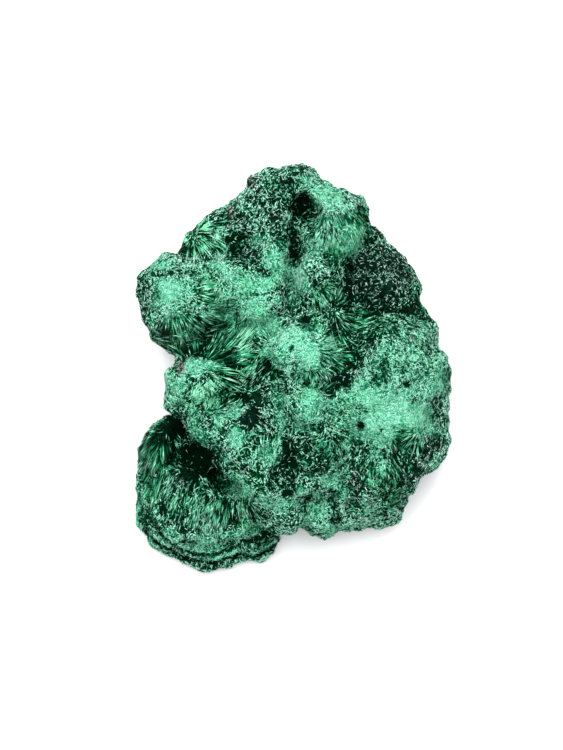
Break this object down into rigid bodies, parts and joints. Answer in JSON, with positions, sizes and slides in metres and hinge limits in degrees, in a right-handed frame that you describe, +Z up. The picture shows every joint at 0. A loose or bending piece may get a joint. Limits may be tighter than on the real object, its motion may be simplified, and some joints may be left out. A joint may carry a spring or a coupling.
{
  "type": "malachite specimen",
  "caption": "Palm-sized hand specimen of fibrous malachite: round green lobes of radiating needles grown together over a low core, with deep hollows, cut off flat below.",
  "frame": {"origin": "middle of the piece's outline, on its flat base", "axes": "+Z up out of the base, +Y along the long way of the piece, towards its narrow end"},
  "size_m": [0.0512, 0.0662, 0.0275],
  "materials": {
    "malachite": "fibrous, silky and dull from mint green on the tops to near black green in the hollows"
  },
  "bodies": {
    "root": {"malachite": "malachite"}
  },
  "joints": []
}
